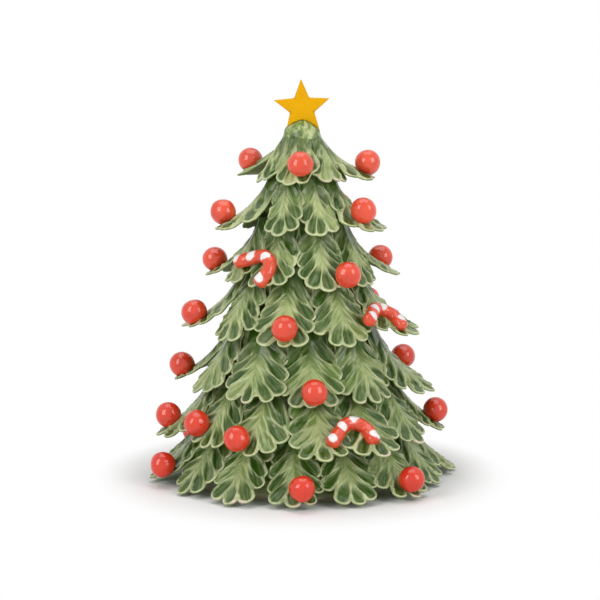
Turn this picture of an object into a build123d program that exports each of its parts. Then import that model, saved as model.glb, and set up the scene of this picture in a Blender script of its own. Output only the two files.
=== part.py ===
"""A hand-built ceramic Christmas tree: a hollow clay cone clad in tiers of finger-pressed leaves,
with baubles and candy canes luted to the leaves and a star let into the tip.

Millimetres, Z up. The origin is the centre of the foot and the front faces -Y. Azimuths are in
degrees from the front, growing towards +X. Tiers are numbered from the crown down.
"""

import os
from copy import copy
from math import asin, atan2, cos, degrees, radians, sin, sqrt

from build123d import *

os.makedirs("parts", exist_ok=True)

# Hollow core
core_height = 222.0
core_foot_radius = 70.0
core_wall = 5.0
tip_cone_height = 19.0
tip_cone_radius = 13.5
core_tip_radius = 4.5
tip_plug_height = 32.0
core_tip_round = 1.5

# Leaf tiers. A few leaves of each tier reach out. Between the crown and the skirt, their tips hang at
# these shares of the height between the two and reach out by these shares of the spread between them
tier_rises = [1.0, 0.834, 0.657, 0.490, 0.295, 0.142, 0.0]
tier_spreads = [0.0, 0.19, 0.37, 0.56, 0.72, 0.88, 1.0]
leaf_counts = [6, 8, 8, 9, 10, 13, 15]
first_leaf_azimuths = [-14.0, -26.0, -27.0, -12.0, 5.0, 7.0, 19.0]
crown_drop = 35.0
crown_tip_radius = 46.0
crown_tip_slope = 9.0
skirt_tip_radius = 98.0
skirt_tip_slope = 22.0
skirt_floor_clearance = 0.6
leaf_thickness = 3.0
leaf_side_gap = 0.5
tier_clearance = 0.8
shortest_pad = 4.0

# The leaves that reach out, counted round each tier from 1. The others hang against the tree, with
# steeper tips that drop this far below the ones that reach
reaching_leaves = [
    [3, 5],
    [3, 5, 8],
    [4, 5, 7],
    [3, 5, 8],
    [3, 4, 5, 6, 8],
    [1, 2, 4, 6, 9, 11],
    [2, 4, 6, 8, 10, 12],
]
hanging_tip_slopes = [50.0, 47.0, 45.0, 42.0, 40.0, 36.0, 30.0]
hanging_tip_drops = [4.6, 3.6, 1.7, 3.5, 0.8, 0.0, 0.0]

# Finger-pressed lobes: where each lobe of one side ends, as a share of the leaf's length from the
# core to the tip, and as a share of the room that the leaf has beside its rib. The upper tiers' leaves
# are short and have fewer lobes
lobe_width = 9.2
short_leaf_tiers = 2
short_leaf_lobes = [(0.45, 1.0), (0.67, 0.96), (0.86, 0.54)]
long_leaf_lobes = [(0.38, 1.0), (0.56, 1.0), (0.73, 0.96), (0.87, 0.58)]
lobe_length = 15.0
lobe_waist_share = 0.70
press_radius = 3.4
press_depth = 1.2

# Baubles: azimuth and place along the leaf, tier by tier
bauble_diameter = 16.0
bauble_seat_depth = 1.2
bauble_places = [
    [(-2, 0.65), (98, 0.85), (-122, 0.78)],
    [(-82, 0.81), (56, 0.71), (150, 0.80), (-150, 0.80)],
    [(33, 0.84), (120, 0.80), (-107, 0.80)],
    [(-10, 0.79), (140, 0.80), (-84, 0.80)],
    [(6, 0.86), (120, 0.80), (-96, 0.80), (-170, 0.80)],
    [(-28, 0.87), (-55, 0.77), (-80, 0.80), (91, 0.80), (148, 0.80)],
    [(0, 0.85), (44, 0.85), (-68, 0.82), (136, 0.80), (180, 0.80), (-128, 0.80)],
]

# Candy canes: tier, azimuth and lean of the straight leg from the horizontal
cane_places = [
    (3, -38, 20),
    (4, 57, 25),
    (6, 24, 45),
    (3, 160, 40),
    (5, 158, 35),
    (6, -136, 45),
]
cane_diameter = 8.5
cane_seat_depth = 1.0
cane_leg = 15.0
cane_hook_radius = 9.0
cane_hook_turn = 130.0
cane_tip = 7.0
cane_end_round = 2.0
cane_along = 0.70

# Star
star_points = 5
star_radius = 18.3
star_notch_radius = 8.0
star_thickness = 5.0
star_lift = 2.0
star_lean = 2.0
star_point_round = 0.8
star_edge_round = 0.7
tang_width = 7.0
tang_depth = 14.0
tang_thickness = 4.0
tang_side_gap = 0.15

tier_count = len(leaf_counts)
lobe_radius = lobe_width / 2
outline_along = 0.7
outline_reach = core_foot_radius
shoulder_height = core_height - tip_cone_height


def radial_plane(azimuth):
    """Upright plane through the axis: its x runs outwards and its y runs up."""
    turn = radians(azimuth)
    return Plane((0, 0, 0), x_dir=(sin(turn), -cos(turn), 0), z_dir=(-cos(turn), -sin(turn), 0))


class LeafForm:
    """Side view of one tier's leaf: a pad on the core, then an arc that leaves the core at a tangent
    and flares to the tip. Slopes are below the horizontal, and along runs from 0 at the core to 1."""

    def __init__(self, tier, above):
        spread = tier_spreads[tier - 1]
        tip_radius = crown_tip_radius + spread * (skirt_tip_radius - crown_tip_radius)
        self.tip_slope = radians(crown_tip_slope + spread * (skirt_tip_slope - crown_tip_slope))
        crown_tip_height = core_height - crown_drop
        rise = tier_rises[tier - 1] * (crown_tip_height - skirt_floor_clearance)
        tip_height = skirt_floor_clearance + rise

        if above is None:
            taper = (tip_cone_radius - core_tip_radius) / tip_cone_height
            side_foot = core_tip_radius + taper * core_height
        else:
            taper = (core_foot_radius - tip_cone_radius) / shoulder_height
            side_foot = core_foot_radius
        self.root_slope = atan2(1, taper)

        # The arc's centre lies outside the leaf, so that the leaf is hollow seen from above
        outward = sin(self.root_slope) - sin(self.tip_slope)
        downward = cos(self.tip_slope) - cos(self.root_slope)
        self.bend = (tip_radius - side_foot + taper * tip_height) / (outward - taper * downward)
        self.centre_radius = tip_radius + self.bend * sin(self.tip_slope)
        self.centre_height = tip_height + self.bend * cos(self.tip_slope)
        self.length = self.bend * (self.root_slope - self.tip_slope)

        # The pad ends at the core's tip, or where its upper face comes near the tier above. There a short
        # one tapers from its start, and a longer one from half-way up
        start_radius, start_height = self.section(0, leaf_thickness)
        if above is None:
            room_up = (core_height - self.section(0)[1]) / sin(self.root_slope)
        else:
            across = start_radius - above.centre_radius
            upward = start_height - above.centre_height
            middle = across * cos(self.root_slope) - upward * sin(self.root_slope)
            room = (above.bend + tier_clearance) ** 2 - across**2 - upward**2
            room_up = middle - sqrt(middle**2 + room)
        self.pad = max(shortest_pad, room_up)
        self.full_pad = self.pad / 2 if room_up > shortest_pad else 0.0

        self.side_lobes = short_leaf_lobes if tier <= short_leaf_tiers else long_leaf_lobes
        self.count = leaf_counts[tier - 1]
        self.pitch = 360 / self.count
        first = first_leaf_azimuths[tier - 1]
        self.azimuths = [first + index * self.pitch for index in range(self.count)]
        self.half_angle = self.pitch / 2 - degrees(leaf_side_gap / tip_radius)

    def hung(self, slope, drop):
        """The same leaf hanging more steeply from the same place on the core."""
        form = copy(self)
        root_radius, root_height = self.section(0)
        fall = root_height - self.section(1)[1] + drop
        form.tip_slope = radians(slope)
        form.bend = fall / (cos(form.tip_slope) - cos(self.root_slope))
        form.centre_radius = root_radius + form.bend * sin(self.root_slope)
        form.centre_height = root_height + form.bend * cos(self.root_slope)
        form.length = form.bend * (self.root_slope - form.tip_slope)
        return form

    def section(self, along, lift=0.0):
        """Radius and height of a point of the side view, lifted off the underside."""
        slope = self.root_slope + along * (self.tip_slope - self.root_slope)
        reach = self.bend - lift
        return self.centre_radius - reach * sin(slope), self.centre_height - reach * cos(slope)

    def pad_section(self, distance, lift=0.0):
        """Radius and height of a point that lies up the core from the start of the arc."""
        radius, height = self.section(0, lift)
        return radius - distance * cos(self.root_slope), height + distance * sin(self.root_slope)

    def point(self, along, azimuth, lift=0.0):
        radius, height = self.section(along, lift)
        turn = radians(azimuth)
        return Vector(radius * sin(turn), -radius * cos(turn), height)

    def face_plane(self, along, azimuth, lift=0.0):
        """Plane on the leaf: its x runs sideways, its y up the leaf and its z out of it."""
        slope = self.root_slope + along * (self.tip_slope - self.root_slope)
        turn = radians(azimuth)
        outward = (sin(slope) * sin(turn), -sin(slope) * cos(turn), cos(slope))
        return Plane(self.point(along, azimuth, lift), x_dir=(cos(turn), sin(turn), 0), z_dir=outward)

    def outline_point(self, along, azimuth):
        """A point of the leaf, seen square on in the plane that its outline is drawn in."""
        seen = self.face_plane(outline_along, 0).to_local_coords(self.point(along, azimuth))
        return Vector(seen.X, seen.Y)

    def outline_root(self):
        """Top of the pad, seen square on in the plane that the outline is drawn in."""
        radius, height = self.pad_section(self.pad)
        seen = self.face_plane(outline_along, 0).to_local_coords(Vector(0, -radius, height))
        return Vector(seen.X, seen.Y)

    def lobe_ends(self):
        """Where the lobes start at the rib and end at the rim, as (along, azimuth) pairs."""
        rise = lobe_length / self.length
        tip_along = 1 - lobe_radius / self.length
        lobes = [((tip_along - rise, 0.0), (tip_along, 0.0))]
        for along, share in self.side_lobes:
            radius = self.section(along)[0]
            swing = share * (self.half_angle - degrees(asin(lobe_radius / radius)))
            for side in (-1, 1):
                lobes.append(((along - rise, 0.0), (along, side * swing)))
        return lobes


class Tier:
    """One ring of leaves, some reaching out and the others hanging."""

    def __init__(self, number, above):
        self.number = number
        self.reaching = LeafForm(number, above.hanging if above else None)
        self.hanging = self.reaching.hung(hanging_tip_slopes[number - 1], hanging_tip_drops[number - 1])
        self.profiles = {}

    def leaf_form(self, index):
        return self.reaching if index + 1 in reaching_leaves[self.number - 1] else self.hanging

    def form_at(self, azimuth):
        """Form of the leaf that an ornament at this azimuth sits on."""
        turns = (azimuth - self.reaching.azimuths[0]) / self.reaching.pitch
        return self.leaf_form(round(turns) % self.reaching.count)


tiers = []
for number in range(1, tier_count + 1):
    tiers.append(Tier(number, tiers[-1] if tiers else None))

# The star stands on a tang that is let into the core's tip
star_height = core_height + star_notch_radius + star_lift
star_angles = [90 + star_lean + 180 / star_points * step for step in range(2 * star_points)]
star_reaches = [star_radius, star_notch_radius] * star_points
star_outline = [
    (reach * cos(radians(angle)), star_height + reach * sin(radians(angle)))
    for reach, angle in zip(star_reaches, star_angles)
]

with BuildPart() as star:
    with BuildSketch(Plane.XZ) as star_sketch:
        Polygon(*star_outline, align=None)
        outer_points = star_sketch.vertices().sort_by_distance((0, 0, star_height))[-star_points:]
        fillet(outer_points, radius=star_point_round)
    extrude(amount=star_thickness / 2, both=True)
    fillet(star.edges().group_by(Axis.Y)[0] + star.edges().group_by(Axis.Y)[-1], radius=star_edge_round)
    with BuildSketch(Plane.XZ):
        with Locations((0, core_height - tang_depth)):
            Rectangle(tang_width, star_height - core_height + tang_depth, align=(Align.CENTER, Align.MIN))
    extrude(amount=tang_thickness / 2, both=True)
star.part.label = "star"
export_step(star.part, "parts/star.step")

with BuildPart() as hollow_core:
    Cone(core_foot_radius, tip_cone_radius, shoulder_height, align=(Align.CENTER, Align.CENTER, Align.MIN))
    with Locations((0, 0, shoulder_height)):
        Cone(tip_cone_radius, core_tip_radius, tip_cone_height, align=(Align.CENTER, Align.CENTER, Align.MIN))
    fillet(hollow_core.edges().group_by(Axis.Z)[-1], radius=core_tip_round)
    hollow_height = core_height - tip_plug_height
    hollow_taper = (core_foot_radius - tip_cone_radius) / shoulder_height
    Cone(
        core_foot_radius - core_wall,
        core_foot_radius - core_wall - hollow_taper * hollow_height,
        hollow_height,
        align=(Align.CENTER, Align.CENTER, Align.MIN),
        mode=Mode.SUBTRACT,
    )
    with BuildSketch(Plane.XY.offset(core_height)):
        Rectangle(tang_width + 2 * tang_side_gap, tang_thickness + 2 * tang_side_gap)
    extrude(amount=-tang_depth, mode=Mode.SUBTRACT)
    add(star.part, mode=Mode.SUBTRACT)
hollow_core.part.label = "hollow_core"
export_step(hollow_core.part, "parts/hollow_core.step")


def pressed_leaf(form):
    """Side view and solid of one leaf, at the front of its tier."""
    # The potter's finger leaves one long round-ended hollow in each lobe
    press_lift = leaf_thickness + press_radius - press_depth
    finger_presses = []
    for rib_end, rim_end in form.lobe_ends():
        start = form.point(*rib_end, press_lift)
        stroke = form.point(*rim_end, press_lift) - start
        with BuildPart() as finger_press:
            with BuildSketch(Plane(start, x_dir=stroke, z_dir=stroke.cross(Vector(0, 0, 1)))):
                with BuildLine():
                    Line((-press_radius, 0), (stroke.length + press_radius, 0))
                    CenterArc((stroke.length, 0), press_radius, 0, 90)
                    Line((stroke.length, press_radius), (0, press_radius))
                    CenterArc((0, 0), press_radius, 90, 90)
                make_face()
            revolve(axis=Axis(start, stroke))
        finger_presses.append(finger_press.part)

    with BuildSketch(radial_plane(-form.half_angle)) as leaf_profile:
        with BuildLine():
            Line(form.pad_section(form.pad), form.section(0))
            ThreePointArc(*(form.section(along) for along in (0, 0.5, 1)))
            Line(form.section(1), form.section(1, leaf_thickness))
            ThreePointArc(*(form.section(along, leaf_thickness) for along in (1, 0.5, 0)))
            if form.full_pad:
                Line(form.section(0, leaf_thickness), form.pad_section(form.full_pad, leaf_thickness))
            Line(form.pad_section(form.full_pad, leaf_thickness), form.pad_section(form.pad))
        make_face()

    with BuildPart() as leaf:
        revolve(leaf_profile.sketch, axis=Axis.Z, revolution_arc=2 * form.half_angle)
        with BuildSketch(form.face_plane(outline_along, 0)):
            with BuildSketch(mode=Mode.PRIVATE) as waist:
                with Locations(form.outline_root()):
                    Circle(lobe_width)
                for rib_end, rim_end in form.lobe_ends():
                    start = form.outline_point(*rib_end)
                    end = form.outline_point(*rim_end)
                    with Locations(start + (end - start) * lobe_waist_share):
                        Circle(lobe_radius)
            make_hull(waist.sketch.edges())
            for rib_end, rim_end in form.lobe_ends():
                start = form.outline_point(*rib_end)
                end = form.outline_point(*rim_end)
                SlotCenterPoint((start + end) / 2, end, lobe_width)
        extrude(amount=outline_reach, both=True, mode=Mode.INTERSECT)
        for press in finger_presses:
            add(press, mode=Mode.SUBTRACT)

    return leaf_profile.sketch, leaf.part


# The whole ring of leaves is one node of separate solids. The star's legs are let into the crown
for tier in tiers:
    solids = {}
    for form in (tier.reaching, tier.hanging):
        tier.profiles[form], solids[form] = pressed_leaf(form)
    copies = []
    for index, azimuth in enumerate(tier.reaching.azimuths):
        copies.append(solids[tier.leaf_form(index)].rotate(Axis.Z, azimuth))
    if tier.number == 1:
        copies = [leaf - star.part for leaf in copies]
    leaves = Compound(label=f"leaves_tier{tier.number}", children=copies)
    export_step(leaves, f"parts/{leaves.label}.step")

# Baubles and canes are pressed on while the clay is soft, so their undersides take the leaves' curve.
# Each is formed at the front of its tier, then turned about the axis to its place
bauble_lift = leaf_thickness + bauble_diameter / 2 - bauble_seat_depth
for tier, places in zip(tiers, bauble_places):
    for index, (azimuth, along) in enumerate(places, start=1):
        form = tier.form_at(azimuth)
        with BuildPart() as bauble:
            with Locations(form.face_plane(along, 0, bauble_lift)):
                Sphere(bauble_diameter / 2)
            revolve(tier.profiles[form], axis=Axis.Z, mode=Mode.SUBTRACT)
        placed = bauble.part.rotate(Axis.Z, azimuth)
        placed.label = f"bauble_tier{tier.number}_{index}"
        export_step(placed, f"parts/{placed.label}.step")

for index, (number, azimuth, lean) in enumerate(cane_places, start=1):
    form = tiers[number - 1].form_at(azimuth)
    cane_lift = leaf_thickness + cane_diameter / 2 - cane_seat_depth
    rise, run = sin(radians(lean)), cos(radians(lean))
    hook_start = (-cane_hook_radius * rise, cane_hook_radius * run)
    leg_start = (hook_start[0] - cane_leg * run, hook_start[1] - cane_leg * rise)
    with BuildPart() as candy_cane:
        with BuildLine(form.face_plane(cane_along, 0, cane_lift)):
            leg = Line(leg_start, hook_start)
            hook = JernArc(leg @ 1, leg % 1, cane_hook_radius, -cane_hook_turn)
            Line(hook @ 1, (hook @ 1) + (hook % 1) * cane_tip)
        with BuildSketch(Plane(leg @ 0, z_dir=leg % 0)):
            Circle(cane_diameter / 2)
        sweep()
        fillet(candy_cane.faces().filter_by(GeomType.PLANE).edges(), radius=cane_end_round)
        revolve(tiers[number - 1].profiles[form], axis=Axis.Z, mode=Mode.SUBTRACT)
    placed = candy_cane.part.rotate(Axis.Z, azimuth)
    placed.label = f"candy_cane_{index}"
    export_step(placed, f"parts/{placed.label}.step")
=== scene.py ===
"""Glazed ceramic christmas tree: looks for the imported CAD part, laid out as an add-on."""

import math

import bmesh
import bpy
import numpy as np
from bpy.props import FloatProperty, FloatVectorProperty, IntProperty, PointerProperty
from bpy.types import Operator, Panel, PropertyGroup
from mathutils import Color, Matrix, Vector


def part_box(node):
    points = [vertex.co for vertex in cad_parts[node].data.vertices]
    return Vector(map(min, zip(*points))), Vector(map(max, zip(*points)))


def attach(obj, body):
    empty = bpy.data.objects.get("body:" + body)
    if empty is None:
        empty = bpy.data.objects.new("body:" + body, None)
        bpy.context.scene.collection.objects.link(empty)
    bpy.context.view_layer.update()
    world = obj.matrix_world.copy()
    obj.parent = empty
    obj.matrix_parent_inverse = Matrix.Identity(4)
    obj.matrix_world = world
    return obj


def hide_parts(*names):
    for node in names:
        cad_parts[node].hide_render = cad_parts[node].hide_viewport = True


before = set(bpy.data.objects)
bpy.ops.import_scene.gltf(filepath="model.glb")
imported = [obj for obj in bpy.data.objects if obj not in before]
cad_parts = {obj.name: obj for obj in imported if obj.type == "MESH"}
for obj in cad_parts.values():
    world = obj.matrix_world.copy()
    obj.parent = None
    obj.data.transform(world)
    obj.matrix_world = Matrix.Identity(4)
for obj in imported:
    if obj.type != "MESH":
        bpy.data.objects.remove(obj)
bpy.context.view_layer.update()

bl_info = {
    "name": "Ceramic Christmas Tree",
    "version": (1, 0, 0),
    "blender": (4, 5, 0),
    "location": "3D View > Sidebar > Tree",
    "description": "Builds a hand-formed ceramic christmas tree on its CAD frame",
    "category": "Add Mesh",
}

MM = 0.001
TAU = 2.0 * math.pi


def paint(code):
    """Linear colour of an sRGB code such as "6b8a4a"."""
    steps = np.array([int(code[i : i + 2], 16) for i in (0, 2, 4)]) / 255.0
    linear = np.where(steps <= 0.04045, steps / 12.92, ((steps + 0.055) / 1.055) ** 2.4)
    return tuple(float(value) for value in linear)


def colour_prop(label, words, code):
    return FloatVectorProperty(
        name=label, description=words, subtype="COLOR", size=3, min=0.0, max=1.0, default=paint(code)
    )


def length_prop(label, words, millimetres):
    return FloatProperty(name=label, description=words, unit="LENGTH", default=millimetres * MM, min=0.0)


# The tree's own layout, in millimetres and degrees, tier by tier from the crown down
CORE_HEIGHT = 222.0
CORE_FOOT_RADIUS = 70.0
CORE_WALL = 5.0
TIP_CONE_HEIGHT = 19.0
TIP_CONE_RADIUS = 13.5
CORE_TIP_RADIUS = 4.5
CORE_TAPER = (CORE_FOOT_RADIUS - TIP_CONE_RADIUS) / (CORE_HEIGHT - TIP_CONE_HEIGHT)
TIP_PLUG_HEIGHT = 32.0
STAR_LIFT = 2.0
# Radius and height up the collar of clay that holds the star's foot
COLLAR = (
    (12.3, 203.0), (12.5, 208.0), (12.6, 211.0), (12.2, 213.5), (11.5, 216.0), (11.15, 217.5), (10.8, 219.0),
    (10.1, 220.2), (9.0, 221.3), (7.5, 222.4), (5.6, 223.7), (3.8, 224.6), (2.4, 225.0), (0.01, 225.3),
)
COLLAR_ROWS = 49
CORE_COLUMNS = 96
# Heights between which the brush's flutes and the star's dark joint come in, and a thumb mark
FLUTE_HEIGHTS = (204.0, 214.0)
JOINT_HEIGHTS = (216.0, 218.5)
THUMB_MARK = (-3.2, 217.0)
THUMB_MARK_REACH = (4.6, 2.6)
# Each tier's height and spread as shares of the whole, its number of leaves and where the first one is
TIER_RISES = (1.0, 0.834, 0.657, 0.490, 0.295, 0.142, 0.0)
TIER_SPREADS = (0.0, 0.19, 0.37, 0.56, 0.72, 0.88, 1.0)
LEAF_COUNTS = (6, 8, 8, 9, 10, 13, 15)
FIRST_AZIMUTHS = (-14.0, -26.0, -27.0, -12.0, 5.0, 7.0, 19.0)
# Radius and slope of a reaching leaf's tip
CROWN_TIP = (46.0, 9.0)
SKIRT_TIP = (98.0, 22.0)
CROWN_TIP_HEIGHT = 187.0
SKIRT_CLEARANCE = 0.6
# Numbers of the leaves that reach out in each tier, while the others hang
REACHING_LEAVES = (
    (3, 5), (3, 5, 8), (4, 5, 7), (3, 5, 8), (3, 4, 5, 6, 8), (1, 2, 4, 6, 9, 11), (2, 4, 6, 8, 10, 12),
)
HANGING_TIP_SLOPES = (50.0, 47.0, 45.0, 42.0, 40.0, 36.0, 30.0)
HANGING_TIP_DROPS = (4.6, 3.6, 1.7, 3.5, 0.8, 0.0, 0.0)
HANGING_TRIMS = (4.5, 3.0, 2.5, 1.5, 1.0, 0.5, 0.0)
CROWN_WIDENING = 1.22
# Leaves are paler at the crown and darker towards the skirt
CROWN_PALENESS = 2.8
PALENESS_LOSS = 2.4
SKIRT_DARKENING = 0.28
# Side lobes: share of the leaf's length and of its half width
SHORT_LEAF_TIERS = 2
SHORT_LEAF_LOBES = ((0.45, 1.0), (0.67, 0.96), (0.86, 0.54))
LONG_LEAF_LOBES = ((0.38, 1.0), (0.56, 1.0), (0.73, 0.96), (0.87, 0.58))
# Azimuth and share of the leaf's length of each bauble, tier by tier
BAUBLE_PLACES = (
    ((-2, 0.65), (98, 0.85), (-122, 0.78)),
    ((-82, 0.81), (56, 0.71), (150, 0.80), (-150, 0.80)),
    ((33, 0.84), (120, 0.80), (-107, 0.80)),
    ((-10, 0.79), (140, 0.80), (-84, 0.80)),
    ((6, 0.86), (120, 0.80), (-96, 0.80), (-170, 0.80)),
    ((-28, 0.87), (-55, 0.77), (-80, 0.80), (91, 0.80), (148, 0.80)),
    ((0, 0.85), (44, 0.85), (-68, 0.82), (136, 0.80), (180, 0.80), (-128, 0.80)),
)
BAUBLE_LIFT = 9.8
BAUBLE_GRID = (33, 48)
BAUBLE_SEED = 5
BAUBLE_LUMPS = 0.020
# Height below which a bauble is pressed flat, as a share of its radius, and how much of it stays
BAUBLE_SEAT = -0.86
SEAT_GIVE = 0.25
# Tier and number of the leaves with clay showing at their tips
WORN_LEAVES = ((7, 15), (7, 14), (7, 2))
# White dabs: shares of the cane's length, half length and half turn round the rod
DAB_SHARES = (0.07, 0.31, 0.55, 0.90)
DAB_HALF_LENGTH = 2.9
DAB_HALF_TURN = 0.85
# Tier, azimuth and lean of each cane
CANE_PLACES = ((3, -38, 20), (4, 57, 25), (6, 24, 45), (3, 160, 40), (5, 158, 35), (6, -136, 45))
CANE_ALONG = 0.70
CANE_SWEEP = 130.0
CANE_SEAT = 2.0
CANE_BLUNT = 2.8
CANE_GRID = (84, 32)
CANE_SEED = 7
STAR_LEAN = 2.0
STAR_EDGE = 0.9
STAR_CROWN = 0.25
STAR_STEPS = 24
# Stage, in metres: floor, strength of the world's light, soft boxes and camera
FLOOR_REACH = 4.0
FLOOR_FADE = (0.096, 0.135)
AMBIENT = 0.30
LIGHT_AIM = (0.0, 0.0, 0.12)
# Name, place, size and power of two tall soft boxes beside the camera and a wide one above
SOFT_BOXES = (
    ("left_box", (-1.05, -1.00, 0.75), (0.7, 1.0), 10.5),
    ("right_box", (1.10, -0.90, 0.70), (0.7, 1.0), 9.0),
    ("top_box", (0.0, 0.1, 1.7), (1.4, 1.2), 10.0),
)
CAMERA_PLACE = (0.0, -1.0, 0.255)
CAMERA_AIM = (0.0, 0.0, 0.1118)
CAMERA_LENS = 96.0
CAMERA_SENSOR = 36.0
CAMERA_SHIFT = -2.0 / 600.0
WHITE = (1.0, 1.0, 1.0, 1.0)


class LeafSizes(PropertyGroup):
    """Sizes of the pressed leaves."""

    thickness: length_prop("Thickness", "Clay thickness beside the rib", 3.1)
    rim_thickness: length_prop("Rim thickness", "Clay thickness at the rolled rim", 1.2)
    lobe_width: length_prop("Lobe width", "Width of one rounded lobe", 9.4)
    lobe_length: length_prop("Lobe length", "Length of a lobe from the rib", 15.0)
    press_depth: length_prop("Press depth", "Depth of the hollow pressed into a lobe", 1.7)
    overlap: FloatProperty(
        name="Overlap", description="Leaf width over its share of the ring", default=1.10, min=0.8, max=1.4
    )
    seed: IntProperty(name="Seed", description="Seed of the hand-made variation", default=11, min=0)


class OrnamentSizes(PropertyGroup):
    """Sizes of the baubles, canes and star."""

    bauble_diameter: length_prop("Bauble diameter", "Diameter of a bauble", 16.0)
    cane_diameter: length_prop("Cane diameter", "Diameter of a candy cane's rod", 8.5)
    cane_leg: length_prop("Cane leg", "Straight leg of a candy cane", 17.0)
    cane_hook: length_prop("Cane hook", "Radius of a candy cane's hook", 9.0)
    cane_tip: length_prop("Cane tip", "Straight end past the hook", 9.0)
    star_radius: length_prop("Star radius", "Reach of the star's points", 18.3)
    star_notch: length_prop("Star notch", "Reach of the star's notches", 8.0)
    star_thickness: length_prop("Star thickness", "Thickness of the star", 5.0)


class GlazeColours(PropertyGroup):
    """Colours of the glazes and the bare clay."""

    leaf_mid: colour_prop("Leaf", "Leaf glaze where it is of even depth", "5f7d32")
    leaf_light: colour_prop("Leaf light", "Leaf glaze where it is brushed thin", "b4c084")
    # This colour is also painted as shade at the leaves' roots under the tier above
    leaf_pool_and_shade: colour_prop("Leaf pool", "Leaf glaze pooled in the presses", "2a4c08")
    leaf_rim: colour_prop("Leaf rim", "Pale line where the glaze breaks over a rim", "dde0b6")
    leaf_under: colour_prop("Leaf underside", "Underside of the leaves", "74884a")
    clay: colour_prop("Bare clay", "Unglazed clay", "e0d0bb")
    # Painted top light: the upper baubles take this lighter red and the lowest the darker one below, tier by
    # tier
    bauble: colour_prop("Bauble", "Glaze of the upper baubles", "f0583a")
    bauble_low_shaded: colour_prop("Bauble low", "Glaze of the lowest baubles", "e23a20")
    # Mixed in soft clouds, and on the baubles also towards the side that sits on the leaf
    bauble_deep: colour_prop("Bauble deep", "Bauble glaze where it is thick", "b01e10")
    cane_red: colour_prop("Cane red", "Cane glaze", "ea5636")
    cane_white: colour_prop("Cane white", "White dabs on the canes", "f3eeec")
    star: colour_prop("Star", "Star glaze", "e8ac00")
    star_deep: colour_prop("Star deep", "Star glaze where it is thick", "e09a00")
    floor: colour_prop("Floor", "Plain floor", "fafafa")


def smooth(low, high, value):
    """Smooth step: 0 below low, 1 above high, a cubic between."""
    share = np.clip((value - low) / (high - low), 0.0, 1.0)
    return share * share * (3.0 - 2.0 * share)


class TierForm:
    """Side view of one tier's leaf: a straight pad up the core, then an arc that leaves the core
    at a tangent and flares to the tip. Slopes are below the horizontal, lengths in millimetres."""

    def __init__(self, tier, hangs):
        spread = TIER_SPREADS[tier]
        tip_radius = CROWN_TIP[0] + spread * (SKIRT_TIP[0] - CROWN_TIP[0])
        self.tip_slope = math.radians(CROWN_TIP[1] + spread * (SKIRT_TIP[1] - CROWN_TIP[1]))
        tip_height = SKIRT_CLEARANCE + TIER_RISES[tier] * (CROWN_TIP_HEIGHT - SKIRT_CLEARANCE)
        if tier == 0:
            taper = (TIP_CONE_RADIUS - CORE_TIP_RADIUS) / TIP_CONE_HEIGHT
            side_foot = CORE_TIP_RADIUS + taper * CORE_HEIGHT
        else:
            taper = CORE_TAPER
            side_foot = CORE_FOOT_RADIUS
        self.root_slope = math.atan2(1.0, taper)
        outward = math.sin(self.root_slope) - math.sin(self.tip_slope)
        downward = math.cos(self.tip_slope) - math.cos(self.root_slope)
        self.bend = (tip_radius - side_foot + taper * tip_height) / (outward - taper * downward)
        self.centre_radius = tip_radius + self.bend * math.sin(self.tip_slope)
        self.centre_height = tip_height + self.bend * math.cos(self.tip_slope)
        root_radius = self.centre_radius - self.bend * math.sin(self.root_slope)
        root_height = self.centre_height - self.bend * math.cos(self.root_slope)
        if hangs:
            # The same leaf from the same root, steeper at its tip, which drops below those that reach
            fall = root_height - tip_height + HANGING_TIP_DROPS[tier]
            self.tip_slope = math.radians(HANGING_TIP_SLOPES[tier])
            self.bend = fall / (math.cos(self.tip_slope) - math.cos(self.root_slope))
            self.centre_radius = root_radius + self.bend * math.sin(self.root_slope)
            self.centre_height = root_height + self.bend * math.cos(self.root_slope)
        self.length = self.bend * (self.root_slope - self.tip_slope)
        self.rim_length = self.length - (HANGING_TRIMS[tier] if hangs else 0.0)
        top_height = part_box(f"leaves_tier{tier + 1}")[1].z / MM
        self.pad = (top_height - root_height) / math.sin(self.root_slope)
        self.half_angle = math.pi / LEAF_COUNTS[tier] * (CROWN_WIDENING if tier == 0 else 1.0)
        self.paleness = CROWN_PALENESS - PALENESS_LOSS * spread
        self.depth = SKIRT_DARKENING * spread
        self.side_lobes = SHORT_LEAF_LOBES if tier < SHORT_LEAF_TIERS else LONG_LEAF_LOBES

    def slope(self, down):
        """Slope at a length down the leaf, which stays that of the core on the pad."""
        return self.root_slope + np.maximum(down, 0.0) / self.length * (self.tip_slope - self.root_slope)

    def section(self, down, lift):
        """Radius and height: arc centre minus (bend - lift) along the slope's normal, and on the pad a
        straight run up the core."""
        slope = self.slope(down)
        reach = self.bend - lift
        pad = np.minimum(down, 0.0)
        radius = self.centre_radius - reach * np.sin(slope) + pad * np.cos(slope)
        height = self.centre_height - reach * np.cos(slope) - pad * np.sin(slope)
        return radius, height

    def place(self, sideways, down, lift, azimuth):
        """Point of the leaf: the side view turned about the axis by azimuth plus sideways over radius."""
        radius, height = self.section(down, lift)
        ring = np.maximum(self.section(down, 0.0)[0], 1.0)
        turn = math.radians(azimuth) + sideways / ring
        return np.stack([radius * np.sin(turn), -radius * np.cos(turn), height], axis=-1)

    def axes(self, down, azimuth):
        """Unit vectors sideways, up the leaf and out of it, at a point of its middle line."""
        slope = float(self.slope(down))
        turn = math.radians(azimuth)
        outward = np.array([math.sin(turn), -math.cos(turn), 0.0])
        upright = np.array([0.0, 0.0, 1.0])
        sideways = np.array([math.cos(turn), math.sin(turn), 0.0])
        up_leaf = -math.cos(slope) * outward + math.sin(slope) * upright
        normal = math.sin(slope) * outward + math.cos(slope) * upright
        return sideways, up_leaf, normal


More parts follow.
